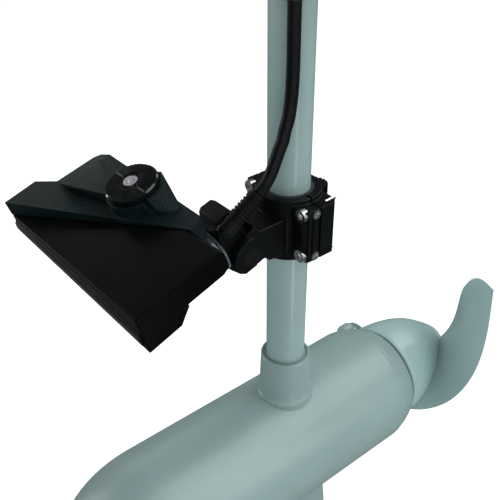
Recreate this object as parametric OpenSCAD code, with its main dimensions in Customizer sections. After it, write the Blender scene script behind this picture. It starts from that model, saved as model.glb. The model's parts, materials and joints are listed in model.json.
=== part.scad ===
// Lower unit of an electric trolling motor with a live-sonar transducer clamped to its shaft.
// Millimetres. The origin is the centre of the shaft's top end, +Z up, nose towards -Y,
// propeller towards +Y. Most modules work from the collar's top rim, which is the collar frame.

/* [Shaft and collar] */
// Outer diameter of the shaft tube
shaft_d = 28.6; // [25.4:0.1:32]
// Wall of the shaft tube
shaft_wall = 2.2; // [1.5:0.1:3]
// Length of shaft above the collar's rim
shaft_above_collar = 480; // [470:10:900]
// Outer diameter of the collar's rim
collar_d = 36.8; // [34:0.2:44]

/* [Motor pod] */
// Outside diameter of the motor pod
pod_d = 101.6; // [96:0.4:110]
// Drop from the collar's rim to the motor axis
pod_drop = 88.5; // [84:0.5:96]
// Wall of the centre housing
housing_wall = 2.5; // [2:0.1:4]
// Distance from the shaft axis to the front of the centre housing
housing_front = 122; // [118:1:130]
// Length of the nose cone
nose_len = 74; // [60:1:90]

/* [Propeller] */
// Diameter of the propeller
prop_d = 236; // [200:2:260]
// Thickness of a blade
blade_t = 3.2; // [2.5:0.1:5]

/* [Sonar transducer] */
// Width of the transducer
sonar_w = 144.8; // [130:0.2:160]
// Depth of the transducer's flat top
sonar_depth = 56; // [50:1:60]
// Upward tilt of the transducer at rest
sonar_tilt = 17.5; // [10:0.5:25]
// Diameter of the adjuster knob
knob_d = 31; // [28:0.5:32]

/* [Shaft clamp] */
// Height of the clamp's hub
clamp_h = 44.5; // [42:0.5:48]
// Height of the clamp's middle above the collar's rim
clamp_z = 120; // [116:1:130]
// Spacing of the clamp's screws along the shaft
clamp_screw_gap = 30; // [27:1:31]

/* [Cable] */
// Diameter of the transducer cable
cable_d = 8; // [7:0.5:8]

/* [Hidden] */
$fn = 64;

fit = 0.05;                        // radial clearance of a running fit
shaft_r = shaft_d / 2;
shaft_bore_r = shaft_r - shaft_wall;
socket_depth = 30;                 // length of the shaft's end that goes into a socket
shaft_foot = -34;                  // lower end of the shaft, in the collar frame
collar_r = collar_d / 2;
pod_r = pod_d / 2;
housing_r = pod_r - housing_wall;  // inside of the centre housing
housing_back = 70.2;
band_back = 87;
bell_back = 111;
bell_rim_r = 41.8;
bolt_r = 2.5;
bolt_seat = 104;                   // where the heads of the through bolts bear
bolt_ring_r = 42.6;                // where the through bolts run
bolt_angles = [-42, 138];          // from straight up, towards +X
axle_r = 6;                        // motor axle inside the pod
stub_r = 4.8;                      // motor axle in the propeller
stub_from = 100;
stub_end = 186;
core_front = -40;
core_back = 45;
core_r = 34;
magnet_r = 35;
comm_front = -72;
comm_back = -54;
comm_r = 13;
plate_front = -92;
hub_front = 113.5;
sonar_at = [0, -161.1, 157.4];     // middle of the transducer's front top edge, collar frame
half_w = sonar_w / 2;
window_drop = 24.5;                // depth of the front lip
knob_at = [-2.5, 53];               // knob axis in the transducer's own plane
knob_r = knob_d / 2;
hump_h = 8;
boss_h = 6.5;                      // seat of the knob above the transducer's top
neck_at = [70, -68];               // start of the swivel neck: back and up, sonar frame
tilt_at = [-43, 113];              // tilt pivot: y and z, collar frame
block_w = 19;
fork_w = 32;
clamp_r = 22;
ear_x = 31;
side_screw_y = -3.7;
side_screw_z = 15.6;
ear_y = 13;
back_ear_y = 16;
nut_seat = 8.5;                    // where the clamp's nuts bear, behind the parting plane
ear_h = 38;
clamp_screw_x = 25.5;
cable_r = cable_d / 2;
coil_at = [33.7, 0, 372];          // centre of the spare cable's coil
coil_mid_r = 52.2;
coil_radial = 40.8;
coil_axial = 35.4;

// Route of the cable from the boot up the shaft to the coil, collar frame.
cable_route = [[13.7, -37.5, 155.5], [14, -32, 160], [14.3, -27.8, 166], [14.6, -24.7, 173],
    [15, -22, 180], [15.5, -19.5, 186], [15.5, -18, 192], [16, -16, 199], [16, -14.5, 207],
    [16, -13.5, 216], [16, -13, 230], [16, -13, 246], [16, -13, 262], [16, -13, 276],
    [16, -13, 288], [16, -15, 298], [16.5, -22, 308], [17.5, -34, 318], [18.5, -47, 330],
    [19.5, -59, 344], [20, -66, 358], [20, -68, 372]];
// Route of the cable's free end from the coil down to its connector.
tail_route = [[46, -36, 372], [50, -35, 388], [55, -29, 404], [58, -16, 417], [58, 4, 424],
    [58, 28, 420], [58, 48, 406], [58, 60, 388], [58, 66, 368], [58, 68, 354], [58, 68, 346.2]];
connector_at = [58, 68, 346];
// Route of the motor leads from the brush plate to the shaft's top.
lead_route = [[0, -88, -46], [0, -70, -44.5], [0, -40, -44.5], [0, -18, -44.5], [0, -7, -43.5],
    [0, -2, -39], [0, 0, -30], [0, 0, 0], [0, 0, 100], [0, 0, 200], [0, 0, 300],
    [0, 0, 400], [0, 0, 425]];

// ---- frames ----
module in_collar() { translate([0, 0, -shaft_above_collar]) children(); }
module in_pod() { in_collar() translate([0, 0, -pod_drop]) children(); }
// Turns local +Z to the motor's +Y, starting at y0 along the motor axis.
module along_motor(y0 = 0) { in_pod() translate([0, y0, 0]) rotate([-90, 0, 0]) children(); }
// Local X across, Y back along the transducer's top, Z out of its top.
module in_sonar() { in_collar() translate(sonar_at) rotate([sonar_tilt, 0, 0]) children(); }
module along_x() { rotate([0, 90, 0]) children(); }
module along_y() { rotate([-90, 0, 0]) children(); }
module both_sides() { children(); mirror([1, 0, 0]) children(); }

// ---- shared shapes ----
module tube(r_out, r_in, h) {
    difference() {
        cylinder(r = r_out, h = h);
        translate([0, 0, -1]) cylinder(r = r_in, h = h + 2);
    }
}
// A ring from radius a to radius b along the motor, from y0 to y1.
module motor_ring(a, b, y0, y1) { along_motor(y0) tube(b, a, y1 - y0); }
// A ring of round section.
module o_ring(r, section_r) { rotate_extrude() translate([r, 0]) circle(section_r, $fn = 24); }
// A cap screw with a hex socket, head towards +Z, its head's seat at z = 0.
module cap_screw(r, length, head_r, head_h) {
    difference() {
        union() {
            translate([0, 0, -length]) cylinder(r = r, h = length);
            cylinder(r = head_r, h = head_h);
        }
        translate([0, 0, head_h * 0.4]) cylinder(r = head_r * 0.55, h = head_h, $fn = 6);
    }
}
module hex_nut(r_bore, across_r, h) {
    difference() {
        cylinder(r = across_r, h = h, $fn = 6);
        translate([0, 0, -1]) cylinder(r = r_bore, h = h + 2);
    }
}
// A prism along X: outline points are [y, z], from x0 to x1.
module side_prism(points, x0, x1) {
    translate([x0, 0, 0]) rotate([90, 0, 90]) linear_extrude(x1 - x0) polygon(points);
}

// ---- swept tubes ----
function unit(v) = v / norm(v);
// Point i of an open path, smoothed between its neighbours at fraction f.
function along(path, i, f) =
    let (a = path[max(i - 1, 0)], b = path[i], c = path[i + 1], d = path[min(i + 2, len(path) - 1)])
    0.5 * ((2 * b) + (c - a) * f + (2 * a - 5 * b + 4 * c - d) * f * f
        + (3 * b - a - 3 * c + d) * f * f * f);
function smooth(path, steps) =
    [for (i = [0:len(path) - 2]) for (k = [0:steps - 1]) along(path, i, k / steps),
     path[len(path) - 1]];
function heading(path, i) =
    unit(path[min(i + 1, len(path) - 1)] - path[max(i - 1, 0)]);
// A direction across the path that doesn't flip along it.
function across(dir, ref) = unit(ref - dir * (ref * dir));
module sweep(path, r, sides, ref) {
    n = len(path);
    points = [for (i = [0:n - 1])
        let (t = heading(path, i), u = across(t, ref), v = cross(t, u))
        for (k = [0:sides - 1])
            path[i] + r * (u * cos(360 * k / sides) + v * sin(360 * k / sides))];
    walls = [for (i = [0:n - 2]) for (k = [0:sides - 1])
        let (m = (k + 1) % sides)
        [i * sides + k, i * sides + m, (i + 1) * sides + m, (i + 1) * sides + k]];
    start = [for (k = [sides - 1:-1:0]) k];
    end = [for (k = [0:sides - 1]) (n - 1) * sides + k];
    polyhedron(points, concat([start, end], walls));
}

// ---- shaft and collar ----
module shaft_tube() {
    color([0.50, 0.56, 0.56]) in_collar() difference() {
        translate([0, 0, shaft_foot])
            tube(shaft_r, shaft_bore_r, shaft_above_collar - shaft_foot);
        translate([-20, 0, shaft_above_collar - 12]) along_x() cylinder(r = 2.6, h = 40);
        // groove that marks how deep the shaft goes into its socket
        translate([0, 0, shaft_above_collar - socket_depth - 1.5]) difference() {
            cylinder(r = shaft_r + 1, h = 1.5);
            translate([0, 0, -1]) cylinder(r = shaft_r - 0.4, h = 4);
        }
    }
}

module shaft_collar() {
    rim = 8;
    base = -46;
    color([0.45, 0.52, 0.52]) in_collar() difference() {
        rotate_extrude() polygon([[11, base], [21.9, base], [21.9, -37], [21.4, -35.4], [20.6, -34.4],
            [19.8, -31], [19.3, -26], [19, -18], [collar_r, -3], [collar_r, -0.8],
            [collar_r - 0.8, 0], [16.6, 0], [16.2, -0.6], [16.2, -11], [shaft_r + fit, -11],
            [shaft_r + fit, shaft_foot], [11, shaft_foot]]);
        translate([0, 0, -pod_drop]) translate([0, -40, 0]) along_y()
            cylinder(r = pod_r, h = 80, $fn = 128);
    }
}

module collar_seal() {
    color([0.42, 0.48, 0.48]) in_collar() translate([0, 0, -11]) tube(16.15, shaft_r, 10);
}

// ---- motor pod ----
module center_housing() {
    color([0.52, 0.58, 0.58]) difference() {
        motor_ring(housing_r, pod_r, -housing_front, housing_back);
        in_pod() cylinder(r = 9, h = pod_r + 5);
        in_pod() for (y = [-40, 25]) translate([0, y, -pod_r - 5]) cylinder(r = 2.1, h = 15);
    }
}

// Bullet-shaped outline from the joint to the tip, as [radius, distance].
function bullet(r, length, steps) =
    [for (i = [0:steps]) let (a = 90 * i / steps) [r * pow(cos(a), 0.9), length * sin(a)]];

module nose_cone() {
    wall = 4;
    spigot = 9;
    color([0.40, 0.46, 0.46]) difference() {
        union() {
            along_motor(-housing_front) mirror([0, 0, 1]) rotate_extrude() polygon(
                concat([[0, 0]], bullet(pod_r, nose_len, 16)));
            motor_ring(housing_r - 4, housing_r - fit, -housing_front, -housing_front + spigot);
        }
        along_motor(-housing_front + 0.001) mirror([0, 0, 1]) rotate_extrude() polygon(
            concat([[0, -1], [pod_r - wall - 3, -1]], bullet(pod_r - wall - 3, nose_len - wall, 16)));
        along_motor(-housing_front + 3) rotate_extrude() translate([housing_r - 2.4, 0])
            square([3, 3]);
        for (a = bolt_angles) bolt_line(a) translate([0, 0, -housing_front - 8])
            cylinder(r = bolt_r - 0.1, h = 20);
    }
    color([0.40, 0.46, 0.46]) difference() {
        union() {
            motor_ring(axle_r + 4, axle_r + 9, -housing_front - 4, -housing_front + 14);
            for (a = [0:60:300]) in_pod() rotate([0, a, 0])
                translate([-1.5, -housing_front - 4, 10]) cube([3, 6, pod_r - 14]);
        }
        for (a = bolt_angles) bolt_line(a) translate([0, 0, -housing_front - 8])
            cylinder(r = bolt_r - 0.1, h = 20);
        along_motor(-housing_front - 6) difference() {
            cylinder(r = pod_r + 20, h = 30);
            translate([0, 0, -1]) cylinder(r = pod_r - 6.5, h = 40);
        }
    }
    color([0.40, 0.46, 0.46]) nose_bosses();
}

// Bosses in the nose that the through bolts screw into.
module nose_bosses() {
    for (a = bolt_angles) bolt_line(a) translate([0, 0, -housing_front - 8]) difference() {
        cylinder(r = 5, h = 8);
        translate([0, 0, -1]) cylinder(r = bolt_r - 0.1, h = 20);
    }
}

// Local +Z runs along the motor at the through bolts' place, angle from straight up.
module bolt_line(angle) {
    along_motor(0) rotate([0, 0, angle]) translate([0, -bolt_ring_r, 0]) children();
}

module rear_end_bell() {
    boss_r = 16;
    lug_r = 5.8;
    color([0.48, 0.55, 0.55]) difference() {
        union() {
            along_motor(0) rotate_extrude() polygon([[boss_r - 4, 72], [38, 72], [40, housing_back - 8],
                [housing_r - fit, housing_back - 8], [housing_r - fit, housing_back],
                [pod_r, housing_back], [pod_r, band_back - 0.6], [pod_r - 0.7, band_back],
                [50.0, 91], [48.6, 97], [46.4, 103], [44, 108], [bell_rim_r + 0.6, 110.4],
                [bell_rim_r, bell_back], [bell_rim_r - 3, bell_back], [bell_rim_r - 4, 103],
                [boss_r, 103], [boss_r, 108], [boss_r - 4, 108]]);
            for (a = bolt_angles) bolt_line(a) translate([0, -4.2, 0]) {
                translate([0, 0, 97.5]) cylinder(r = lug_r, h = 5);
                for (z = [97.5, 102.5]) translate([0, 0, z]) sphere(r = lug_r);
            }
        }
        // room inside the shell
        along_motor(0) rotate_extrude() polygon([[boss_r + 5, 60], [40, 60], [44, 74], [44.5, 88],
            [40, 99], [boss_r + 5, 99]]);
        for (a = bolt_angles) bolt_line(a) {
            translate([0, 0, 50]) cylinder(r = bolt_r + fit, h = 60);
            translate([0, 0, bolt_seat]) cylinder(r = 4.6, h = 20);
        }
        along_motor(housing_back - 6) rotate_extrude() translate([housing_r - 2.4, 0])
            square([3, 3]);
        along_motor(60) cylinder(r = boss_r - 4, h = 60);
    }
}

module front_seal_ring() {
    color([0.08, 0.08, 0.08]) along_motor(-housing_front + 4.5) o_ring(housing_r - 1.2, 1.2);
}

module rear_seal_ring() {
    color([0.08, 0.08, 0.08]) along_motor(housing_back - 4.5) o_ring(housing_r - 1.2, 1.2);
}

module through_bolts() {
    color([0.75, 0.75, 0.76]) for (a = bolt_angles) bolt_line(a) {
        translate([0, 0, -housing_front - 6])
            cylinder(r = bolt_r - 0.1, h = bolt_seat + housing_front + 6);
        translate([0, 0, bolt_seat]) difference() {
            cylinder(r = 4.4, h = 3.4);
            translate([0, 0, 1.4]) cylinder(r = 2.4, h = 3, $fn = 6);
        }
    }
}

module skeg() {
    depth = 74;
    half_t = 3;
    color([0.40, 0.46, 0.46]) difference() {
        union() {
            in_pod() hull() {
                translate([0, -52, -pod_r - 1]) cylinder(r = half_t, h = 2, $fn = 32);
                translate([0, 40, -pod_r - 1]) cylinder(r = half_t, h = 2, $fn = 32);
                translate([0, 20, -pod_r - depth]) cylinder(r = half_t - 1, h = 2, $fn = 32);
                translate([0, 50, -pod_r - depth]) cylinder(r = half_t - 1, h = 2, $fn = 32);
            }
            in_pod() hull() for (y = [-54, 38]) translate([0, y, -pod_r - 4])
                cylinder(r = 10, h = 8, $fn = 32);
        }
        along_motor(-80) cylinder(r = pod_r, h = 160, $fn = 128);
        in_pod() for (y = [-40, 25]) translate([0, y, -pod_r - 90]) {
            translate([0, 0, 60]) cylinder(r = 2.2, h = 60);
        }
        in_pod() for (y = [-40, 25]) translate([0, y, -pod_r - 10]) cube([9, 9, 12], center = true);
    }
}

module skeg_screws() {
    color([0.75, 0.75, 0.76]) in_pod() for (y = [-40, 25]) translate([0, y, -pod_r - 4])
        mirror([0, 0, 1]) {
            translate([0, 0, -9]) cylinder(r = 2, h = 9);
            difference() {
                cylinder(r = 3.8, h = 2.6);
                translate([0, 0, 1.2]) cylinder(r = 2, h = 3, $fn = 6);
            }
        }
}

// ---- inside the motor ----
module field_magnets() {
    span = 124;
    color([0.25, 0.25, 0.27]) along_motor(core_front - 6) for (middle = [70, 250])
        rotate([0, 0, middle - 90 - span / 2])
            rotate_extrude(angle = span) translate([magnet_r, 0])
                square([housing_r - fit - magnet_r, core_back - core_front + 12]);
}

module brush_plate() {
    color([0.35, 0.22, 0.12]) difference() {
        union() {
            motor_ring(15, housing_r - 6, plate_front, plate_front + 4);
            in_pod() both_sides() translate([comm_r + 4, comm_front - 18, -6]) cube([22, 28, 12]);
        }
        in_pod() both_sides() translate([comm_r + 2, comm_front + 2, -4.1]) cube([22, 20, 8.2]);
        along_motor(comm_front - 30) cylinder(r = 15, h = 60);
        for (a = bolt_angles) bolt_line(a) translate([0, 0, -110]) cylinder(r = 4, h = 40);
    }
}

module brushes() {
    color([0.16, 0.16, 0.17]) in_pod() both_sides()
        difference() {
            translate([comm_r - 1, comm_front + 3, -4]) cube([12, 10, 8]);
            translate([0, comm_front, 0]) along_y() cylinder(r = comm_r + fit, h = 20);
        }
}

module brush_springs() {
    turns = 5;
    steps = 10;
    coil = [for (i = [0:turns * steps]) let (a = 360 * i / steps)
        [comm_r + 11.8 + 9 * i / (turns * steps), comm_front + 8 + 2.8 * sin(a), 2.8 * cos(a)]];
    color([0.7, 0.7, 0.72]) in_pod() both_sides() sweep(coil, 0.5, 6, [1, 0, 0]);
}

module front_bush() {
    color([0.72, 0.53, 0.28]) motor_ring(axle_r + fit, axle_r + 4, -housing_front - 2,
        -housing_front + 12);
}

module rear_bush() {
    color([0.72, 0.53, 0.28]) motor_ring(axle_r + fit, 12, 72, 88);
}

module shaft_seal() {
    color([0.1, 0.1, 0.1]) motor_ring(axle_r + fit, 12, 90, 97);
}

module armature_shaft() {
    color([0.72, 0.73, 0.75]) difference() {
        union() {
            along_motor(-housing_front - 1) cylinder(r = axle_r, h = stub_from + housing_front + 1);
            along_motor(stub_from) cylinder(r = stub_r, h = stub_end - stub_from);
        }
        in_pod() translate([-10, hub_front + 6, 0]) along_x() cylinder(r = 2 + fit, h = 20);
    }
}

module armature_core() {
    color([0.35, 0.36, 0.38]) along_motor(core_front) difference() {
        cylinder(r = core_r, h = core_back - core_front);
        translate([0, 0, -1]) cylinder(r = axle_r, h = core_back - core_front + 2);
        for (a = [0:30:330]) rotate([0, 0, a]) {
            translate([27, 0, -1]) cylinder(r = 4, h = core_back - core_front + 2);
            translate([27, -1, -1]) cube([10, 2, core_back - core_front + 2]);
        }
    }
}

module windings() {
    color([0.72, 0.36, 0.16]) along_motor(core_front) {
        for (a = [0:30:330]) rotate([0, 0, a]) translate([27, 0, -1])
            cylinder(r = 3.9, h = core_back - core_front + 2);
        for (side = [-1, 1]) translate([0, 0, (core_back - core_front) / 2 * (1 + side)])
            rotate_extrude() translate([22, side * 5.2]) scale([1, 0.5]) circle(r = 9.5);
    }
}

module commutator() {
    color([0.78, 0.45, 0.22]) along_motor(comm_front) difference() {
        cylinder(r = comm_r, h = comm_back - comm_front);
        translate([0, 0, -1]) cylinder(r = axle_r, h = 30);
        for (a = [0:20:340]) rotate([0, 0, a]) translate([comm_r - 1.4, -0.3, -1])
            cube([3, 0.6, comm_back - comm_front - 2]);
    }
}

module thrust_washer() {
    color([0.75, 0.75, 0.76]) motor_ring(axle_r, 11, 68.5, 71.5);
}

// ---- propeller ----
// Leading and trailing edges of a blade: s runs from root to tip. Angle is from straight down.
function lead_edge(s) = [36 + (prop_d / 2 - 36) * s, 38 + 177 * s - 67 * s * s,
    117 + 60 * s - 8 * s * s];
function trail_edge(s) = [22 + (prop_d / 2 - 42) * s, 137 + 44 * s - 23 * s * s,
    179 + 5 * s - 18 * s * s];
function spot(e) = [e[0] * sin(e[1]), e[2], -e[0] * cos(e[1])];
// Middle surface of a blade at span s and chord c, with a bowed section and a peaked tip.
function blade_edge(s, c) = let (m = lead_edge(s) * (1 - c) + trail_edge(s - 0.05 * pow(s, 6)) * c,
    bow = sin(180 * c), peak = bow * pow(s, 6))
    [m[0] + 5 * peak, m[1] + 3.5 * peak, m[2] + 4.7 * peak - 5 * bow * (1 - 0.4 * s)];
function blade_mid(s, c) = spot(blade_edge(s, c));
function blade_normal(s, c) = let (e = 0.02)
    unit(cross(blade_mid(min(s + e, 1), c) - blade_mid(max(s - e, 0), c),
        blade_mid(s, min(c + e, 1)) - blade_mid(s, max(c - e, 0))));
function blade_half(s, c) = (blade_t / 2) * (1.5 - 0.8 * s) * (0.25 + 0.75 * sin(180 * c));

module blade() {
    spans = 18;
    chords = 8;
    row = 2 * (chords + 1);
    points = [for (i = [0:spans]) let (s = 1 - pow(1 - i / spans, 1.25))
        for (k = [0:row - 1]) let (top = k <= chords, c = (top ? k : row - 1 - k) / chords)
            blade_mid(s, c) + (top ? 1 : -1) * blade_half(s, c) * blade_normal(s, c)];
    walls = [for (i = [0:spans - 1]) for (k = [0:row - 1]) let (m = (k + 1) % row)
        each [[i * row + k, i * row + m, (i + 1) * row + m],
            [i * row + k, (i + 1) * row + m, (i + 1) * row + k]]];
    caps = [for (k = [0:chords - 1]) each [
        [k, row - 1 - k, k + 1], [k + 1, row - 1 - k, row - 2 - k]]];
    end = [for (f = caps) [for (j = [2:-1:0]) f[j] + spans * row]];
    polyhedron(points, concat(walls, caps, end));
}

module propeller() {
    color([0.36, 0.42, 0.42]) difference() {
        union() {
            along_motor(0) rotate_extrude() polygon([[0, hub_front], [40.5, hub_front],
                [41.5, 116], [41, 124], [39.4, 136], [36.6, 148], [32.4, 159], [27, 168],
                [21, 176.5], [14.5, 184.5], [13, 185.5], [13, 176], [0, 176]]);
            in_pod() for (turn = [0, 180]) rotate([0, turn, 0]) blade();
        }
        along_motor(hub_front - 3) cylinder(r = stub_r + fit, h = 80);
        along_motor(hub_front - 3) difference() {
            cylinder(r = 37, h = 7);
            translate([0, 0, -1]) cylinder(r = 13, h = 9);
        }
        along_motor(176) cylinder(r = 12.5, h = 40);
        in_pod() translate([-13, hub_front + 6, 0]) along_x() cylinder(r = 2 + fit, h = 26);
        in_pod() translate([-13, hub_front - 1, -2.05]) cube([26, 7, 4.1]);
    }
}

module drive_pin() {
    color([0.75, 0.75, 0.76]) in_pod() translate([-12.5, hub_front + 6, 0]) along_x()
        cylinder(r = 2, h = 25);
}

module prop_washer() { color([0.75, 0.75, 0.76]) motor_ring(stub_r + fit, 10, 176, 177.6); }

module prop_nut() {
    color([0.75, 0.75, 0.76]) along_motor(177.6) hex_nut(stub_r, 9, 6);
}

module anode() {
    color([0.62, 0.64, 0.66]) along_motor(183.6) difference() {
        rotate_extrude() polygon([[0, 0], [11.5, 0], [11.5, 1.5], [10, 4.6], [7, 6], [0, 6.6]]);
        translate([0, 0, -1]) cylinder(r = stub_r, h = 3.6);
    }
}

// ---- motor leads ----
module motor_leads() {
    for (side = [-1, 1]) color(side < 0 ? [0.1, 0.1, 0.1] : [0.7, 0.1, 0.1]) in_collar()
        translate([2.6 * side - 2.8, 0, 0])
            sweep(smooth(lead_route, 3), 2, 8, [1, 0.01, 0]);
}

module lead_connector() {
    color([0.12, 0.12, 0.13]) in_collar() translate([-2.8, 0, 425]) difference() {
        union() {
            cylinder(r = 7, h = 6);
            translate([-6.5, -4, 6]) cube([13, 8, 22]);
        }
        for (x = [-3, 3]) translate([x, 0, 14]) cylinder(r = 1.9, h = 20);
    }
}

// ---- shaft clamp ----
liner_r = shaft_r + 2.2;

module clamp_holes(r) {
    for (x = [-clamp_screw_x, clamp_screw_x], z = [-clamp_screw_gap / 2, clamp_screw_gap / 2])
        translate([x, -60, z]) along_y() cylinder(r = r, h = 120);
}

// Half of the clamp's body: the hub with its two ears, in front of the parting plane.
module clamp_half(ear_y, bevel) {
    difference() {
        union() {
            translate([0, 0, -clamp_h / 2]) cylinder(r = clamp_r, h = clamp_h);
            difference() {
                translate([-ear_x, -ear_y, -ear_h / 2]) cube([2 * ear_x, ear_y, ear_h]);
                both_sides() translate([ear_x, -ear_y, 0]) rotate([0, 0, 45])
                    cube([bevel, bevel, ear_h + 2], center = true);
            }
        }
        translate([-60, -0.4, -40]) cube([120, 60, 80]);
        translate([0, 0, -40]) cylinder(r = liner_r, h = 80);
        clamp_holes(2.55);
    }
}

module clamp_front() {
    fork_in = block_w / 2 + 0.3;
    top = tilt_at[1] - clamp_z + 17;
    pivot_z = tilt_at[1] - clamp_z;
    cheek_r = 14;
    color([0.06, 0.06, 0.07]) in_collar() translate([0, 0, clamp_z]) {
        difference() {
            clamp_half(ear_y, 5);
            for (x = [-clamp_screw_x, clamp_screw_x], z = [-1, 1])
                translate([x, -ear_y + 4, z * clamp_screw_gap / 2]) rotate([90, 0, 0])
                    cylinder(r = 4.7, h = 20);
            for (z = [-1, 1]) translate([ear_x - 1.6, side_screw_y, z * side_screw_z]) along_x() {
                cylinder(r = 3.1, h = 20);
                translate([0, 0, -2]) cylinder(r = 1.5, h = 4);
            }
        }
        // fork that carries the knuckle
        difference() {
            union() {
                side_prism(concat([[-49.7, pivot_z - 10.8], [-33.8, pivot_z - 5.1],
                    [-29.4, pivot_z - 8.8], [-21, pivot_z - 9.5], [-14, pivot_z - 9.5], [-14, top],
                    [-38, top]], [for (a = [90:6.5:187.5])
                    [tilt_at[0] + cheek_r * cos(a), pivot_z + cheek_r * sin(a)]]),
                    -fork_w / 2, fork_w / 2);
            }
            translate([-fork_in, -80, -50]) cube([2 * fork_in, 80 - 24, 50 + pivot_z + 10]);
            translate([-fork_in, -80, -50]) cube([2 * fork_in, 80 - 37, 100]);
            translate([-50, tilt_at[0], pivot_z]) along_x() cylinder(r = 4 + fit, h = 100);
            translate([fork_w / 2 - 3.6, tilt_at[0], pivot_z]) along_x()
                cylinder(r = 7.3, h = 10, $fn = 6);
            translate([0, 0, -40]) cylinder(r = liner_r, h = 80);
        }
    }
}

module clamp_back() {
    boss_at = [5.5, 18, -19];
    color([0.06, 0.06, 0.07]) in_collar() translate([0, 0, clamp_z]) difference() {
        union() {
            mirror([0, 1, 0]) clamp_half(back_ear_y, 6);
            // ribbed boss on the back
            difference() {
                translate(boss_at) cylinder(r = 8.6, h = 39);
                translate([0, 0, -40]) cylinder(r = liner_r, h = 80);
                for (a = [-40:20:140]) translate([boss_at[0], boss_at[1], 0]) rotate([0, 0, a])
                    translate([8.1, -0.6, 9]) cube([2, 1.2, 14]);
                translate([-60, -0.4, -40]) mirror([0, 1, 0]) cube([120, 60, 80]);
            }
        }
        for (x = [-clamp_screw_x, clamp_screw_x], z = [-1, 1])
            translate([x, nut_seat, z * clamp_screw_gap / 2]) along_y() rotate([0, 0, 30])
                cylinder(r = 4.3, h = 20, $fn = 6);
    }
}

module clamp_liners() {
    color([0.13, 0.13, 0.13]) in_collar() translate([0, 0, clamp_z]) difference() {
        translate([0, 0, -clamp_h / 2]) tube(liner_r, shaft_r, clamp_h);
        translate([-60, -0.4, -60]) cube([120, 0.8, 120]);
    }
}

module clamp_screws() {
    color([0.7, 0.7, 0.72]) in_collar() translate([0, 0, clamp_z])
        for (x = [-clamp_screw_x, clamp_screw_x], z = [-1, 1])
            translate([x, -ear_y + 4, z * clamp_screw_gap / 2]) rotate([90, 0, 0])
                cap_screw(2.5, ear_y - 4 + nut_seat + 4.2, 4.4, 4);
}

module clamp_nuts() {
    color([0.7, 0.7, 0.72]) in_collar() translate([0, 0, clamp_z])
        for (x = [-clamp_screw_x, clamp_screw_x], z = [-1, 1])
            translate([x, nut_seat, z * clamp_screw_gap / 2]) along_y() rotate([0, 0, 30])
                hex_nut(2.5, 4.2, 3.8);
}

module side_screws() {
    color([0.7, 0.7, 0.72]) in_collar() translate([0, 0, clamp_z]) for (z = [-1, 1])
        translate([ear_x - 1.6, side_screw_y, z * side_screw_z]) along_x() {
            translate([0, 0, -1.3]) cylinder(r = 1.5, h = 1.3);
            difference() {
                cylinder(r = 3.05, h = 1.8);
                translate([0, 0, 0.7]) cylinder(r = 1.5, h = 2, $fn = 6);
            }
        }
}

// ---- tilt pivot ----
module at_tilt() { in_collar() translate([0, tilt_at[0], tilt_at[1]]) children(); }

module tilt_screw() {
    color([0.1, 0.1, 0.1]) at_tilt() translate([-fork_w / 2 - 1.2, 0, 0]) rotate([0, -90, 0])
        cap_screw(4, fork_w + 1, 6.5, 5);
}

module tilt_washer() {
    color([0.75, 0.75, 0.76]) at_tilt() translate([-fork_w / 2 - 1.2, 0, 0]) along_x()
        tube(8, 4.1, 1.2);
}

module tilt_nut() {
    color([0.1, 0.1, 0.1]) at_tilt() translate([fork_w / 2 - 3.6, 0, 0]) along_x()
        hex_nut(4, 7.2, 3.4);
}

// Outline of the knuckle between its top and foot: [back, up] in the sonar frame.
block_outline = [[86.5, -42], [88.5, -40], [97.5, -40], [99.8, -42.5], [108, -84], [107, -91],
    [103, -94], [94, -94], [90, -91], [84.5, -82], [84.5, -54]];

module knuckle_block() {
    color([0.06, 0.06, 0.07]) difference() {
        in_sonar() side_prism(block_outline, -block_w / 2, block_w / 2);
        at_tilt() translate([-20, 0, 0]) along_x() cylinder(r = 4 + fit, h = 40);
        in_sonar() translate([0, 84, neck_at[1]]) along_y() cylinder(r = 6, h = 8.8);
    }
}

// Local +Z runs back along the neck, from its front flange.
module along_neck() { in_sonar() translate([0, neck_at[0], neck_at[1]]) along_y() children(); }

module swivel_neck() {
    color([0.30, 0.34, 0.35]) along_neck() rotate_extrude() polygon([[0, 4], [12.8, 4],
        [12.8, 5.6], [14.6, 6], [14.6, 7.8], [13.4, 8.2], [13.4, 8.8], [14.6, 9.2], [14.6, 11],
        [13.4, 11.4], [13.4, 12], [14.6, 12.4], [14.6, 13.6], [12, 14.3], [6, 14.3], [6, 22.8],
        [0, 22.8]]);
}

module cable_boot() {
    start = [12, -58.5, 140.2];
    tip = [13.7, -37.5, 155.5];
    ribs = 9;
    pitch = 2.55;
    color([0.07, 0.07, 0.08]) in_collar() difference() {
        boot_line(start, tip) {
            rotate_extrude() polygon(concat([[0, -7], [4.6, -7], [6, -4], [6, 3]],
                [for (i = [0:ribs - 1]) let (z = 3 + pitch * i, r = 5.8 - 0.08 * i) each
                    [[r, z], [r, z + 1.4], [r - 0.8, z + 1.7], [r - 0.8, z + 2.5]]],
                [[0, 3 + pitch * ribs]]));
        }
        translate(sonar_at) rotate([sonar_tilt, 0, 0])
            side_prism(block_outline, -block_w / 2, block_w / 2);
    }
}

// Local +Z points from a towards b.
module boot_line(a, b) {
    d = unit(b - a);
    translate(a) rotate([0, acos(d[2]), atan2(d[1], d[0])]) children();
}

// ---- bracket under the transducer ----
bracket_top = -window_drop - 0.9;

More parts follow.
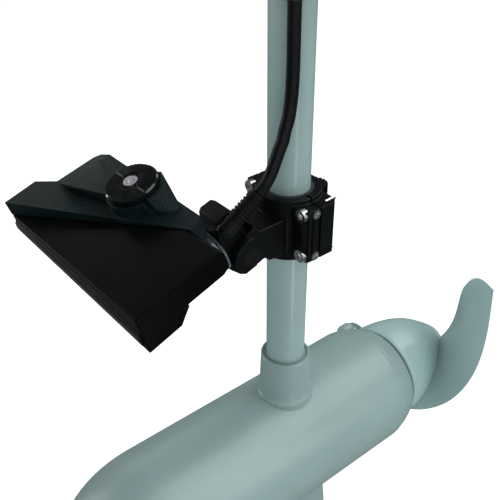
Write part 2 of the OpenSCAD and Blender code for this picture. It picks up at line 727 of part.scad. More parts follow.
module bracket() {
    socket_r = 15.4;
    color([0.07, 0.07, 0.08]) difference() {
        union() {
            in_sonar() translate([knob_at[0], knob_at[1], bracket_top - 7])
                cylinder(r = 19, h = 7);
            in_sonar() translate([-13, knob_at[1], bracket_top - 7]) cube([26, 18, 7]);
            in_sonar() side_prism([[58, bracket_top - 7], [72, bracket_top - 7], [72, neck_at[1] - 6],
                [68, neck_at[1] - 6], [62, neck_at[1] + 12]], -13, 13);
            along_neck() translate([0, 0, -4]) cylinder(r = socket_r, h = 7.6);
        }
        along_neck() translate([0, 0, -20]) cylinder(r = 3, h = 40);
        in_sonar() translate([knob_at[0], knob_at[1], -60]) cylinder(r = 4 + fit, h = 60);
        in_sonar() translate([knob_at[0], knob_at[1], bracket_top - 8])
            cylinder(r = 7.6, h = 5.1, $fn = 6);
    }
}

module pivot_nut() {
    color([0.7, 0.7, 0.72]) in_sonar() translate([knob_at[0], knob_at[1], bracket_top - 7.6])
        hex_nut(4 + fit, 7.5, 4.6);
}

// ---- transducer ----
// Height of the tilted facet on the transducer's top, from its low left front corner.
facet_left = -10.4;
facet_rise = 1.6;
function facet(x, y) = facet_left * (half_w - x) / sonar_w + facet_rise * y / 53.3;
// Strip along the front of the top cover, and the cover's outline behind it.
cover_outline = [[-72.4, 0], [45, 55], [42.6, 62.5], [40.6, 65], [-52, 65], [-57, 62], [-59, 57],
    [-60, 31], [-73, 22.2]];

// A thin slice with the outline points [y, z], next to the plane at x.
module side_points(points, x) {
    t = 0.8;
    translate([x > 0 ? x - t : x, 0, 0]) rotate([90, 0, 90])
        linear_extrude(t) polygon(points);
}

module transducer_body() {
    color([0.05, 0.05, 0.06]) in_sonar() difference() {
        union() {
            hull() {
                side_points([[0, facet(-half_w, 0)], [53.3, facet(-half_w, 53.3)],
                    [sonar_depth, facet(-half_w, 53.3) - 3], [sonar_depth, -14], [51.8, -16],
                    [0, -18]], -half_w);
                side_points([[0, facet(half_w, 0)], [53.3, facet(half_w, 53.3)],
                    [sonar_depth, facet(half_w, 53.3) - 3], [sonar_depth, -11.4], [51.8, -13.7],
                    [0, -15.2]], half_w);
            }
            hull() for (x = [-half_w, half_w]) side_points([[0, -13], [22, -14], [28.7, -15.2],
                [25.5, -16.8], [20.3, -23.6], [-0.8, -window_drop]], x);
            // foot that turns on the bracket
            translate([knob_at[0], knob_at[1], -window_drop - 0.5])
                cylinder(r = 17, h = window_drop - 4);
        }
        translate([knob_at[0], knob_at[1], -60]) cylinder(r = 4 + fit, h = 100);
        // the left rear corner is cut away behind the strip
        translate([-half_w - 10, 0, -40]) linear_extrude(60) polygon([[0, 22.5], [10, 22.5],
            [half_w - 49.6, 31], [half_w - 48.6, 70], [0, 70]]);
        // seat of the window
        side_prism([[-3, -12], [2.2, -12], [2.2, -22], [-3, -22]], -half_w + 4, half_w - 4);
        // chamber of the elements
        side_prism([[2.1, -13.5], [16, -13.5], [16, -21], [2.1, -21]], -half_w + 8, half_w - 8);
    }
}

module acoustic_window() {
    color([0.03, 0.03, 0.035]) in_sonar() side_prism([[2.1, -12.1], [2.1, -21.9], [-0.4, -21.9],
        [-1.6, -20.8], [-2.2, -17], [-1.8, -13.6], [-0.6, -12.1]], -half_w + 4.1, half_w - 4.1);
}

module sonar_elements() {
    color([0.55, 0.5, 0.4]) in_sonar() for (x = [-42, 0, 42]) translate([x - 19, 2.4, -20.6])
        cube([38, 12, 6.8]);
}

module top_cover() {
    color([0.12, 0.15, 0.16]) in_sonar() difference() {
        union() {
            translate([0, 0, -16]) linear_extrude(16) polygon(cover_outline);
            // raised textured hump
            translate([0, 0, -1]) hull() {
                linear_extrude(1) polygon([[-59, 32], [-57, 60], [-50, 64], [20, 64], [20, 50]]);
                translate([0, 0, hump_h]) linear_extrude(1)
                    polygon([[-44, 28], [-42.5, 54], [-37, 58.5], [8, 60], [8, 46]]);
            }
            // seat of the knob
            translate([knob_at[0], knob_at[1], -2]) cylinder(r = knob_r + 1, h = boss_h + 2);
            // ear that rises round the knob's right side
            difference() {
                hull() {
                    translate([knob_at[0] + 2, knob_at[1] + 1, -1]) cylinder(r = knob_r + 0.6,
                        h = boss_h + 3, $fn = 32);
                    translate([22, 59, -1]) cylinder(r = 5, h = 2, $fn = 32);
                }
                translate([-40, 20, boss_h]) cube([41, 60, 20]);
                translate([-40, 20, 0.1]) cube([80, 31, 20]);
            }
        }
        hull() {
            side_points([[-5, facet(-half_w, -5)], [53.3, facet(-half_w, 53.3)],
                [sonar_depth, facet(-half_w, 53.3) - 3], [sonar_depth, -40], [-5, -40]],
                -half_w - 4);
            side_points([[-5, facet(half_w, -5)], [53.3, facet(half_w, 53.3)],
                [sonar_depth, facet(half_w, 53.3) - 3], [sonar_depth, -40], [-5, -40]], half_w);
        }
        translate([knob_at[0], knob_at[1], -60]) cylinder(r = 17.05, h = 60 - 4.4);
        translate([knob_at[0], knob_at[1], -60]) cylinder(r = 4 + fit, h = 100);
        translate([knob_at[0], knob_at[1], boss_h]) cylinder(r = knob_r + 0.5, h = 20);
    }
}

// ---- knob ----
module adjuster_knob() {
    ribs = 40;
    color([0.06, 0.06, 0.07]) in_sonar() translate([knob_at[0], knob_at[1], boss_h + 0.8])
        difference() {
        union() {
            rotate_extrude() polygon([[0, 0], [knob_r - 0.8, 0], [knob_r, 0.8], [knob_r, 3.4],
                [knob_r - 0.8, 4.2], [5.6, 4.2], [5.4, 4.6], [0, 4.6]]);
            for (i = [0:ribs - 1]) rotate([0, 0, 360 * i / ribs])
                translate([7, -0.35, 4]) cube([knob_r - 8.4, 0.7, 0.9]);
        }
        translate([0, 0, -1]) cylinder(r = 4, h = 8);
        translate([0, 0, 2.6]) cylinder(r = 5, h = 8);
    }
}

module knob_washer() {
    color([0.72, 0.72, 0.74]) in_sonar() translate([knob_at[0], knob_at[1], boss_h]) tube(9, 4, 0.8);
}

module knob_screw() {
    top = boss_h + 0.8 + 2.6;
    color([0.75, 0.75, 0.75]) in_sonar() translate([knob_at[0], knob_at[1], top])
        cap_screw(4, top - bracket_top + 7.4, 4.2, 2.2);
}

// ---- cable ----
module sonar_cable() {
    color([0.05, 0.05, 0.05]) in_collar() sweep(smooth(cable_route, 2), cable_r, 10, [1, 0.01, 0]);
}

module coil_shape() {
    translate(coil_at) along_x() rotate_extrude($fn = 96)
        translate([coil_mid_r - coil_radial / 2, -coil_axial / 2])
            square([coil_radial, coil_axial]);
}

module cable_coil() { color([0.05, 0.05, 0.05]) in_collar() coil_shape(); }

module cable_tail() {
    color([0.05, 0.05, 0.05]) in_collar() sweep(smooth(tail_route, 2), cable_r, 10, [1, 0, 0]);
}

module cable_connector() {
    color([0.08, 0.08, 0.09]) in_collar() translate(connector_at) mirror([0, 0, 1]) difference() {
        rotate_extrude() polygon([[0, 0], [6, 0], [7.4, 6], [8, 14], [10.5, 15], [10.5, 30],
            [9.4, 31], [9.4, 38], [0, 38]]);
        translate([0, 0, 30]) tube(8, 6, 9);
    }
}

// A tie that holds the cable to the shaft, at height z.
module cable_ties() {
    color([0.06, 0.06, 0.06]) in_collar() for (z = [268, 282]) translate([0, 0, z]) difference() {
        hull() {
            cylinder(r = shaft_r + 1.3, h = 4.8);
            translate([16, -13, 0]) cylinder(r = cable_r + 1.3, h = 4.8, $fn = 32);
        }
        translate([0, 0, -1]) hull() {
            cylinder(r = shaft_r, h = 7);
            translate([16, -13, 0]) cylinder(r = cable_r, h = 7, $fn = 32);
        }
    }
}

// Straps that hold the coil to the shaft: a loop round the bundle and a loop round the shaft.
module coil_straps() {
    wide = 16;
    t = 1.6;
    color([0.09, 0.09, 0.1]) in_collar() for (side = [-1, 1]) {
        middle = coil_at[2] + side * coil_mid_r;
        difference() {
            translate([coil_at[0] - coil_axial / 2 - t, -wide / 2, middle - coil_radial / 2 - 2 * t])
                cube([coil_axial + 2 * t, wide, coil_radial + 4 * t]);
            coil_shape();
        }
        translate([0, 0, middle - wide / 2]) tube(shaft_r + t, shaft_r, wide);
    }
}

shaft_tube();
shaft_collar();
collar_seal();
center_housing();
nose_cone();
rear_end_bell();
front_seal_ring();
rear_seal_ring();
through_bolts();
skeg();
skeg_screws();
field_magnets();
brush_plate();
brushes();
brush_springs();
front_bush();
rear_bush();
shaft_seal();
motor_leads();
lead_connector();
clamp_front();
clamp_back();
clamp_liners();
clamp_screws();
clamp_nuts();
side_screws();
tilt_screw();
tilt_nut();
tilt_washer();
cable_ties();
sonar_cable();
cable_coil();
cable_tail();
coil_straps();
cable_connector();
armature_shaft();
armature_core();
windings();
commutator();
thrust_washer();
drive_pin();
propeller();
prop_washer();
prop_nut();
anode();
knuckle_block();
swivel_neck();
cable_boot();
bracket();
pivot_nut();
transducer_body();
acoustic_window();
top_cover();
sonar_elements();
adjuster_knob();
knob_screw();
knob_washer();
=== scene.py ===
import json
import math

import bmesh
import bpy
from mathutils import Matrix, Vector


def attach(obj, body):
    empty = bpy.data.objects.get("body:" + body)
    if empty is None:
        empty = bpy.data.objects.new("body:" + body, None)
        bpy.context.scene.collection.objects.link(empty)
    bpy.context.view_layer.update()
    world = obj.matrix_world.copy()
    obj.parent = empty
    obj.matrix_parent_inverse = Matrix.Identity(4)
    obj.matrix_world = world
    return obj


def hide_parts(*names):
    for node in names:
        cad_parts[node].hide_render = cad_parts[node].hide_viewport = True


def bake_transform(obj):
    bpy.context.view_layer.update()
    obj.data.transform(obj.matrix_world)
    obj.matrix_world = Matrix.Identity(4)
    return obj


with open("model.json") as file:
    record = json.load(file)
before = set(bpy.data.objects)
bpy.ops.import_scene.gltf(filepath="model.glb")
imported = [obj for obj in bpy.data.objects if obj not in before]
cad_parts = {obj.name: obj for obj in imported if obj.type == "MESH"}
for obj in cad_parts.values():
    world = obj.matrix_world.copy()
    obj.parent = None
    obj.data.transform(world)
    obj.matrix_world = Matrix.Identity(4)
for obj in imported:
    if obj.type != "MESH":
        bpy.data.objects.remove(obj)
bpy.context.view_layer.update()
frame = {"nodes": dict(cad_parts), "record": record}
nodes = frame["nodes"]

# Sizes, outlines and routes are in millimetres, as in the CAD; MM takes them to metres.
MM = 0.001
SHAFT = 480.0        # drop from the row's origin to the collar's rim
POD = 88.5           # drop from the collar's rim to the motor axis
FULL_TURN = 2 * math.pi


def V(*p):
    return Vector(p)


def collar(x, y, z):
    """A point given from the middle of the collar's rim."""
    return V(x, y, z - SHAFT) * MM


def pod(x, y, z):
    """A point given from the motor axis below the collar."""
    return V(x, y, z - SHAFT - POD) * MM


# ---------------------------------------------------------------- camera and light
# The camera's place and axes, fitted to the picture.
CAMERA_AT = V(0.32507, -0.29397, -0.09453)
CAMERA_RIGHT = V(0.63083, 0.77586, -0.00930)
CAMERA_UP = V(-0.42756, 0.35759, 0.83026)
CAMERA_BACK = V(0.64749, -0.51978, 0.55730)

scene = bpy.context.scene
cam_data = bpy.data.cameras.new("camera")
cam_data.lens = 55.14
cam_data.sensor_width = 36
cam_data.clip_start = 0.01
cam = bpy.data.objects.new("camera", cam_data)
scene.collection.objects.link(cam)
cam.matrix_world = (Matrix.Translation(CAMERA_AT)
                    @ Matrix((CAMERA_RIGHT, CAMERA_UP, CAMERA_BACK)).transposed().to_4x4())
scene.camera = cam


def softbox(name, at, aim, size, power, colour=(1, 1, 1)):
    """A rectangular lamp that lights the scene and isn't seen in any view."""
    data = bpy.data.lights.new(name, "AREA")
    data.shape = "RECTANGLE"
    data.size, data.size_y = size
    data.energy = power
    data.color = colour
    o = bpy.data.objects.new(name, data)
    scene.collection.objects.link(o)
    o.location = at
    o.rotation_mode = "QUATERNION"
    o.rotation_quaternion = (V(*aim) - V(*at)).to_track_quat("-Z", "Y")
    o.visible_camera = False


middle = (0, -0.02, -0.45)     # of what the camera sees
softbox("left", (-1.1, -0.7, 0.0), middle, (0.25, 1.2), 5, (0.97, 0.99, 1))
softbox("behind", (-0.1, 1.3, 0.5), middle, (1.0, 0.5), 4)
softbox("knob", (-0.78, 0.09, 0.0), (0, -0.13, -0.31), (0.5, 0.5), 0.8)
softbox("fill", (0.9, -0.8, -0.2), middle, (0.8, 0.8), 2.4)
softbox("strip", (0.447, -0.055, -0.56), (0, 0, -0.4), (0.05, 0.4), 0.25)
softbox("right", (1.2, 0.5, 0.1), middle, (0.22, 1.2), 6)

sky_data = bpy.data.lights.new("sky", "SUN")
sky_data.energy = 1.75
sky_data.angle = math.radians(50)
sky = bpy.data.objects.new("sky", sky_data)
scene.collection.objects.link(sky)
sky.rotation_mode = "QUATERNION"
sky.rotation_quaternion = V(-0.35, -0.45, -1).to_track_quat("-Z", "Y")

# The room: pale to the eye and for soft fill, darker where it is mirrored.
world = bpy.data.worlds.new("studio")
scene.world = world
world.use_nodes = True
wt = world.node_tree
room = wt.nodes["Background"]
room.inputs[0].default_value = (0.95, 0.98, 1, 1)
room.inputs[1].default_value = 0.65
mirrored = wt.nodes.new("ShaderNodeBackground")
mirrored.inputs[0].default_value = (0.9, 0.97, 1, 1)
mirrored.inputs[1].default_value = 0.12
ray = wt.nodes.new("ShaderNodeLightPath")
either = wt.nodes.new("ShaderNodeMixShader")
wt.links.new(ray.outputs["Is Glossy Ray"], either.inputs[0])
wt.links.new(room.outputs[0], either.inputs[1])
wt.links.new(mirrored.outputs[0], either.inputs[2])
wt.links.new(either.outputs[0], wt.nodes["World Output"].inputs[0])
scene.view_settings.view_transform = "Standard"


# ---------------------------------------------------------------- materials
def material(name, colour, rough, metal=0.0, vary=0.08, vary_scale=30, rough_vary=0.05,
             grain=None, bump=0.15, depth=0.05, cells=False, stretch=None, **sockets):
    """A surface whose colour and roughness drift softly, with an optional fine grain.
    grain is the grain's scale, depth its height in mm, and stretch its scale along each axis.
    Other keywords are the shader's own sockets, with _ for a space."""
    m = bpy.data.materials.new(name)
    m.use_nodes = True
    t = m.node_tree
    new, link = t.nodes.new, t.links.new
    shader = t.nodes["Principled BSDF"]
    shader.inputs["Metallic"].default_value = metal
    for k, v in sockets.items():
        shader.inputs[k.replace("_", " ")].default_value = v
    where = new("ShaderNodeTexCoord")
    drift = new("ShaderNodeTexNoise")
    drift.inputs["Scale"].default_value = vary_scale
    drift.inputs["Detail"].default_value = 5
    link(where.outputs["Object"], drift.inputs["Vector"])
    ramp = new("ShaderNodeValToRGB")
    low = [max(0, c * (1 - vary)) for c in colour] + [1]
    high = [min(1, c * (1 + vary)) for c in colour] + [1]
    ramp.color_ramp.elements[0].position, ramp.color_ramp.elements[0].color = 0.3, low
    ramp.color_ramp.elements[1].position, ramp.color_ramp.elements[1].color = 0.7, high
    link(drift.outputs["Fac"], ramp.inputs["Fac"])
    link(ramp.outputs["Color"], shader.inputs["Base Color"])
    spread = new("ShaderNodeMapRange")
    spread.inputs["To Min"].default_value = max(0.02, rough - rough_vary)
    spread.inputs["To Max"].default_value = min(1, rough + rough_vary)
    link(drift.outputs["Fac"], spread.inputs["Value"])
    link(spread.outputs["Result"], shader.inputs["Roughness"])
    if grain:
        vector = where.outputs["Object"]
        if stretch:
            scale = new("ShaderNodeMapping")
            scale.inputs["Scale"].default_value = stretch
            link(vector, scale.inputs["Vector"])
            vector = scale.outputs["Vector"]
        tex = new("ShaderNodeTexVoronoi" if cells else "ShaderNodeTexNoise")
        tex.inputs["Scale"].default_value = grain
        if not cells:
            tex.inputs["Detail"].default_value = 3
        link(vector, tex.inputs["Vector"])
        dent = new("ShaderNodeBump")
        dent.inputs["Strength"].default_value = bump
        dent.inputs["Distance"].default_value = depth * MM
        link(tex.outputs["Distance" if cells else "Fac"], dent.inputs["Height"])
        link(dent.outputs["Normal"], shader.inputs["Normal"])
    return m


M = {
    "shaft_metal": material("shaft_metal", (0.185, 0.262, 0.257), 0.22, vary=0.04, vary_scale=14,
                            rough_vary=0.02),
    "pod_paint": material("pod_paint", (0.165, 0.236, 0.231), 0.34, vary=0.05, vary_scale=16,
                          grain=1400, bump=0.10, depth=0.03),
    "pod_plastic": material("pod_plastic", (0.165, 0.235, 0.23), 0.38, vary=0.06, vary_scale=20,
                            grain=1700, bump=0.14),
    # prop_plastic is lighter than pod_plastic, though the blade has the pod's colour: this is
    # painted light that lifts the blade's shaded face.
    "prop_plastic": material("prop_plastic", (0.215, 0.318, 0.311), 0.30, vary=0.06, vary_scale=18,
                             grain=1500, bump=0.10),
    "seal_rubber": material("seal_rubber", (0.022, 0.022, 0.022), 0.75, grain=1500, bump=0.3),
    "stainless": material("stainless", (0.66, 0.66, 0.68), 0.26, 1.0, vary=0.05, vary_scale=300,
                          rough_vary=0.1, grain=2500, bump=0.12),
    "black_steel": material("black_steel", (0.004, 0.0045, 0.005), 0.42, vary=0.2,
                            vary_scale=200, grain=1800, bump=0.2, Specular_IOR_Level=0.15),
    "axle_steel": material("axle_steel", (0.6, 0.61, 0.63), 0.22, 1.0, grain=900, bump=0.15,
                           stretch=(1, 20, 1)),
    "core_steel": material("core_steel", (0.26, 0.27, 0.28), 0.5, 0.8, grain=200, bump=0.5,
                           stretch=(0.01, 12, 0.01)),
    "magnet": material("magnet", (0.09, 0.09, 0.095), 0.7, grain=900, bump=0.3),
    "board": material("board", (0.30, 0.16, 0.07), 0.55, vary=0.2, grain=500, bump=0.2),
    "carbon": material("carbon", (0.05, 0.05, 0.05), 0.6, grain=1500, bump=0.3),
    "bronze": material("bronze", (0.62, 0.42, 0.2), 0.4, 1.0, vary=0.15, grain=1500, bump=0.25),
    "copper": material("copper", (0.62, 0.27, 0.12), 0.3, 0.9, vary=0.2, vary_scale=90,
                       grain=350, bump=0.6, depth=0.3),
    "zinc": material("zinc", (0.5, 0.51, 0.52), 0.55, 0.9, vary=0.12, vary_scale=120,
                     grain=700, bump=0.35, depth=0.08),
    "lead_insulation": material("lead_insulation", (0.3, 0.02, 0.02), 0.5, grain=900, bump=0.1),
    "connector_plastic": material("connector_plastic", (0.02, 0.02, 0.022), 0.45, grain=1300,
                                  bump=0.3),
    "mount_plastic": material("mount_plastic", (0.002, 0.0027, 0.003), 0.34, vary=0.2,
                              vary_scale=60, grain=1300, bump=0.3, depth=0.05,
                              Specular_IOR_Level=0.14),
    # neck_plastic's base colour is far lighter than the other black plastics: painted highlight
    # standing in for the neck's grey reflections. Its low roughness and strong specular are real
    # gloss.
    "neck_plastic": material("neck_plastic", (0.05, 0.068, 0.073), 0.15, vary=0.1, grain=900,
                             bump=0.08, Specular_IOR_Level=0.8),
    "boot_rubber": material("boot_rubber", (0.0025, 0.003, 0.0035), 0.36, vary=0.15, grain=1600,
                            bump=0.25, Specular_IOR_Level=0.18),
    "sonar_plastic": material("sonar_plastic", (0.0011, 0.0014, 0.0016), 0.33, vary=0.2,
                              vary_scale=50, grain=1500, bump=0.2, depth=0.04,
                              Specular_IOR_Level=0.05),
    "window_plastic": material("window_plastic", (0.006, 0.006, 0.008), 0.16, vary=0.1,
                               grain=600, bump=0.04),
    "cover_plastic": material("cover_plastic", (0.0026, 0.0082, 0.0082), 0.42, vary=0.3,
                              vary_scale=80, rough_vary=0.08, grain=1050, bump=0.85,
                              depth=0.3, cells=True, Specular_IOR_Level=0.13),
    "element": material("element", (0.45, 0.4, 0.3), 0.6, grain=900, bump=0.2),
    "knob_plastic": material("knob_plastic", (0.0035, 0.0045, 0.005), 0.13, vary=0.15,
                             grain=1500, bump=0.12),
    "cable_jacket": material("cable_jacket", (0.002, 0.0026, 0.003), 0.36, vary=0.2,
                             vary_scale=120, grain=1400, bump=0.2, Specular_IOR_Level=0.2),
    "tie_nylon": material("tie_nylon", (0.006, 0.0065, 0.007), 0.38, grain=1300, bump=0.2),
    "strap_fabric": material("strap_fabric", (0.012, 0.012, 0.0135), 0.85, vary=0.25,
                             vary_scale=500, grain=1400, bump=0.9, depth=0.25, cells=True,
                             Sheen_Weight=0.4),
}
FINISH = {s["node"]: s["material_slot"] for s in frame["record"]["subparts"]}

for name, o in nodes.items():
    o.data.materials.clear()
    o.data.materials.append(M[FINISH[name]])
    for p in o.data.polygons:
        p.material_index = 0


def soften(name, width):
    """Rounds a CAD node's edges for the eye, by modifiers that weld its faces and bevel."""
    o = nodes[name]
    bpy.context.view_layer.objects.active = o
    bpy.ops.mesh.customdata_custom_splitnormals_clear()
    for p in o.data.polygons:
        p.use_smooth = True
    weld = o.modifiers.new("weld", "WELD")
    weld.merge_threshold = 2e-6
    bevel = o.modifiers.new("bevel", "BEVEL")
    bevel.width = width * MM
    bevel.segments = 3
    bevel.limit_method = "ANGLE"
    bevel.angle_limit = math.radians(28)
    bevel.use_clamp_overlap = False
    bevel.miter_outer = "MITER_ARC"
    normals = o.modifiers.new("normals", "WEIGHTED_NORMAL")
    normals.mode = "FACE_AREA"
    normals.weight = 90
    normals.keep_sharp = False


for name, width in {"transducer_body": 0.8, "top_cover": 0.35, "knuckle_block": 1.0,
                    "clamp_front": 0.7, "clamp_back": 0.7, "bracket": 0.5,
                    "skeg": 0.5, "cable_ties": 0.3}.items():
    soften(name, width)


# ---------------------------------------------------------------- mesh building
def build(name, points, faces, slot_name, body, stands_for=(), bend=None):
    """A smooth piece that rides a body, or with bend is left unparented where it is built. Points
    are in metres, row frame.
    """
    data = bpy.data.meshes.new(name)
    data.from_pydata([tuple(p) for p in points], [], faces)
    bm = bmesh.new()
    bm.from_mesh(data)
    bmesh.ops.recalc_face_normals(bm, faces=bm.faces)
    bm.to_mesh(data)
    bm.free()
    for p in data.polygons:
        p.use_smooth = True
    o = bpy.data.objects.new(name, data)
    scene.collection.objects.link(o)
    data.materials.append(M[slot_name])
    if bend:
        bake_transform(o)
    else:
        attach(o, body)
    if stands_for:
        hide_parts(*stands_for)
    return o


def revolved(name, outline, place, slot_name, body, stands_for=()):
    """A closed outline of (radius, height) turned about an axis; place maps (x, y, z)."""
    n, steps = len(outline), 160
    points = [place(r * math.cos(a), r * math.sin(a), h)
              for a in [FULL_TURN * i / steps for i in range(steps)] for r, h in outline]
    faces = [(i * n + j, i * n + (j + 1) % n, (i + 1) % steps * n + (j + 1) % n,
              (i + 1) % steps * n + j) for i in range(steps) for j in range(n)]
    o = build(name, points, faces, slot_name, body, stands_for)
    o.data.set_sharp_from_angle(angle=math.radians(35))


def rounded(outline, r, steps=4):
    """A closed outline of 2-D points with its corners rounded by up to r."""
    out = []
    n = len(outline)
    for i, p in enumerate(outline):
        p = Vector(p)
        a, b = Vector(outline[i - 1]) - p, Vector(outline[(i + 1) % n]) - p
        d = min(r, a.length * 0.45, b.length * 0.45)
        a, b = a.normalized() * d, b.normalized() * d
        for k in range(steps + 1):
            t = k / steps
            out.append(p + a * (1 - t) ** 2 + b * t ** 2)
    return out


def tube(points, radius, sides=16):
    """Vertices and faces of a closed-ended tube along points, in metres."""
    verts, faces = [], []
    n = len(points)
    side = V(1, 0, 0)
    for i, p in enumerate(points):
        d = (points[min(i + 1, n - 1)] - points[max(i - 1, 0)]).normalized()
        side = (side - d * side.dot(d)).normalized()
        other = d.cross(side)
        for k in range(sides):
            a = FULL_TURN * k / sides
            verts.append(p + (side * math.cos(a) + other * math.sin(a)) * radius)
    for i in range(n - 1):
        for k in range(sides):
            m = (k + 1) % sides
            faces.append((i * sides + k, i * sides + m, (i + 1) * sides + m,
                          (i + 1) * sides + k))
    faces.append(tuple(range(sides))[::-1])
    faces.append(tuple((n - 1) * sides + k for k in range(sides)))
    return verts, faces


def spline(path, step):
    """Points of a smooth curve through path, about step apart, in path's own units."""
    out = []
    for i in range(len(path) - 1):
        a, b = path[max(i - 1, 0)], path[i]
        c, d = path[i + 1], path[min(i + 2, len(path) - 1)]
        n = max(1, round((c - b).length / step))
        for k in range(n):
            f = k / n
            out.append(0.5 * ((2 * b) + (c - a) * f + (2 * a - 5 * b + 4 * c - d) * f * f
                              + (3 * b - a - 3 * c + d) * f ** 3))
    out.append(path[-1])
    return out


# ---------------------------------------------------------------- the sonar cable
CABLE = 8.0          # diameter
COIL_Z = 372.0       # height of the coil's middle, collar frame
COIL_R = 68.4        # radius of the outermost layer
COIL_X = 20.0        # where the turn next to the shaft lies
PITCH = 8.4          # from one turn to the next
LAYER = 8.12         # from one layer to the next
LAYERS = 5
TURNS = 3.2          # in a layer
STEPS = 64           # points in a turn
BOOT_TIP = (13.7, -37.5, 155.5)


def coil_point(turn, radius, x):
    a = FULL_TURN * turn
    return V(x, -radius * math.cos(a), COIL_Z + radius * math.sin(a))


# From the boot up the shaft, under the two ties and over to the coil.
run_up = [V(*p) for p in [
    BOOT_TIP, (14, -32, 160), (14.3, -27.8, 166), (14.6, -24.7, 173),
    (15, -22, 180), (15.5, -19.5, 186), (15.5, -18, 192), (16, -16, 199), (16, -14.5, 207),
    (16, -13.5, 216), (16, -13, 230), (16, -13, 246), (16, -13, 262), (16, -13, 276),
    (16, -13, 288), (16, -15, 298), (16.5, -22, 308), (17.5, -34, 318), (18.5, -47, 330),
    (19.5, -59.5, 345), (20, -67, 359)]]
coil = []
turn = 0.0
for layer in range(LAYERS):
    radius = COIL_R - LAYER * layer
    forward = layer % 2 == 0
    steps = round(TURNS * STEPS)
    for k in range(steps):
        f = k / steps
        x = COIL_X + PITCH * TURNS * (f if forward else 1 - f)
        coil.append(coil_point(turn + TURNS * f, radius, x))
    turn += TURNS
    if layer < LAYERS - 1:       # a quarter turn leads to the next layer in
        x = COIL_X + PITCH * TURNS * (1 if forward else 0)
        for k in range(STEPS // 4):
            f = k / (STEPS // 4)
            coil.append(coil_point(turn + 0.25 * f, radius - LAYER * f, x))
        turn += 0.25
# Out of the coil, across its outer side and down to the connector.
tail = [V(*p) for p in [
    (47.4, -35.6, 380), (50.5, -33.5, 392), (55, -28, 406), (58, -16, 417.5), (58, 4, 424),
    (58, 28, 420), (58, 48, 406), (58, 60, 388), (58, 66, 368), (58, 68, 354), (58, 68, 346.2)]]
line = spline(run_up + [coil[0]], 2.5) + coil[1:] + spline([coil[-1]] + tail, 3)[1:]
line = [p for i, p in enumerate(line) if i == 0 or (p - line[i - 1]).length > 0.2]
line = [collar(*p) for p in line]
verts, faces = tube(line, CABLE / 2 * MM)
cable = build("cable", verts, faces, "cable_jacket", None,
              ("sonar_cable", "cable_coil", "cable_tail"),
              bend=("knuckle", "root", collar(*BOOT_TIP), collar(16, -13, 232)))

# ---------------------------------------------------------------- propeller
TIP_R = 118.0
BLADE_HALF = 1.6     # half its thickness, before the changes along span and chord


def blade_edge(s, c):
    """Radius, angle from straight down, and distance along the motor at span s and chord c."""
    q = s - 0.05 * s ** 6
    lead = V(36 + (TIP_R - 36) * s, 38 + 177 * s - 67 * s * s, 117 + 60 * s - 8 * s * s)
    trail = V(22 + (TIP_R - 42) * q, 137 + 44 * q - 23 * q * q, 179 + 5 * q - 18 * q * q)
    m = lead * (1 - c) + trail * c
    bow = math.sin(math.pi * c)
    peak = bow * s ** 6
    return V(m.x + 5 * peak, m.y + 3.5 * peak, m.z + 4.7 * peak - 5 * bow * (1 - 0.4 * s))


def blade_mid(s, c):
    """The same point as x, y and z from the motor axis."""
    m = blade_edge(s, c)
    a = math.radians(m.y)
    return V(m.x * math.sin(a), m.z, -m.x * math.cos(a))


def blade(flip):
    """Vertices and faces of the blade that is seen, or with flip of the one opposite."""
    spans, chords = 56, 28
    verts, faces = [], []
    row = 2 * (chords + 1)
    e = 0.01         # the step that slopes are taken over
    for i in range(spans + 1):
        s = i / spans
        s = 1 - (1 - s) ** 1.3
        for k in range(row):
            top = k <= chords
            c = (k if top else row - 1 - k) / chords
            c = 0.5 - 0.5 * math.cos(math.pi * c)
            du = blade_mid(min(s + e, 1), c) - blade_mid(max(s - e, 0), c)
            dv = blade_mid(s, min(c + e, 1)) - blade_mid(s, max(c - e, 0))
            normal = du.cross(dv).normalized()
            thin = math.sin(math.pi * c) ** 0.7
            tip = min(1, (1 - s) * 14) ** 0.5
            half = BLADE_HALF * (1.5 - 0.8 * s) * (0.12 + 0.88 * thin) * (0.3 + 0.7 * tip)
            p = blade_mid(s, c) + (1 if top else -1) * half * normal
            verts.append(pod(*(V(-p.x, p.y, -p.z) if flip else p)))
    for i in range(spans):
        for k in range(row):
            m = (k + 1) % row
            faces.append((i * row + k, i * row + m, (i + 1) * row + m, (i + 1) * row + k))
    for base in (0, spans * row):
        for k in range(chords):
            faces.append((base + k, base + k + 1, base + row - 2 - k, base + row - 1 - k))
    return verts, faces


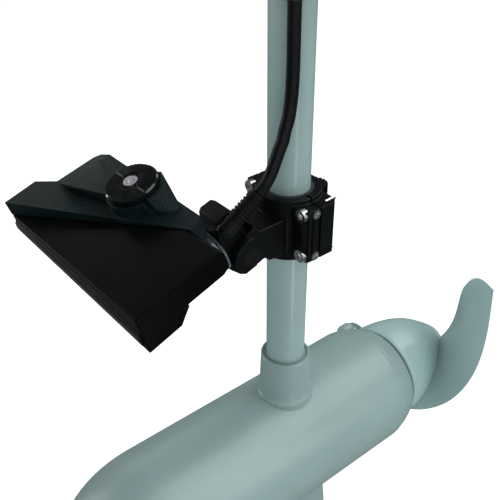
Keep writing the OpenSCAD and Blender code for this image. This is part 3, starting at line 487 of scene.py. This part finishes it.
# The hub's section, as radius and distance behind the shaft's middle.
hub = rounded([(4.9, 116), (36, 116), (37, 113.5), (40.5, 113.5), (41.5, 116), (41, 124),
               (39.4, 136), (36.6, 148), (32.4, 159), (27, 168), (21, 176.5), (14.5, 184.5),
               (13, 185.5), (12.5, 184), (12.5, 176), (4.9, 176)], 2.5)
revolved("prop_hub", hub, lambda x, y, z: pod(x, z, y), "prop_plastic", "rotor",
         ("propeller",))
for i, flip in enumerate((False, True)):
    verts, faces = blade(flip)
    o = build(f"prop_blade_{i + 1}", verts, faces, "prop_plastic", "rotor")
    o.data.set_sharp_from_angle(angle=math.radians(60))


# ---------------------------------------------------------------- coil straps
STRAP_WIDE = 16 * MM
STRAP_THICK = 1.5 * MM
STRAP_UP = 52.2      # above and below the coil's middle
SHAFT_R = 14.4       # the shaft with a hair's gap


def band(name, loop, across, stands_for=()):
    """A strap: loop is a closed list of points, across the direction of its width."""
    n = len(loop)
    outline = [(-0.5, 0), (-0.5, 0.7), (-0.44, 1), (0.44, 1), (0.5, 0.7), (0.5, 0)]
    verts, faces = [], []
    m = len(outline)
    for i, p in enumerate(loop):
        d = (loop[(i + 1) % n] - loop[i - 1]).normalized()
        out = d.cross(across).normalized()
        for w, h in outline:
            verts.append(p + across * (w * STRAP_WIDE) + out * (h * STRAP_THICK))
    for i in range(n):
        for k in range(m):
            q = (k + 1) % m
            faces.append((i * m + k, i * m + q, (i + 1) % n * m + q, (i + 1) % n * m + k))
    build(name, verts, faces, "strap_fabric", "root", stands_for)


for i, side in enumerate((-1, 1)):
    z = COIL_Z + side * STRAP_UP
    x0, x1, z0, z1 = 14.9, 52.5, z - 20.9, z + 20.9      # the bundle of turns that it holds
    loop = [collar(p.x, 0, p.y)
            for p in rounded([(x0, z0), (x1, z0), (x1, z1), (x0, z1)], 7, 8)]
    band(f"strap_bundle_{i + 1}", loop, V(0, 1, 0), ("coil_straps",) if i == 0 else ())
    ring = [collar(SHAFT_R * math.cos(-a), SHAFT_R * math.sin(-a), z)
            for a in [FULL_TURN * k / 72 for k in range(72)]]
    band(f"strap_shaft_{i + 1}", ring, V(0, 0, 1))

# ---------------------------------------------------------------- floor
FLOOR_Z = -0.76      # metres, below the skeg

bpy.ops.mesh.primitive_plane_add(size=30, location=(0, 0, FLOOR_Z))
floor = bpy.context.object
floor.name = "floor"
floor.data.materials.append(material("floor", (0.93, 0.935, 0.94), 0.9, vary=0.01))
floor.visible_glossy = False     # its pale mirror image would grey the black plastic
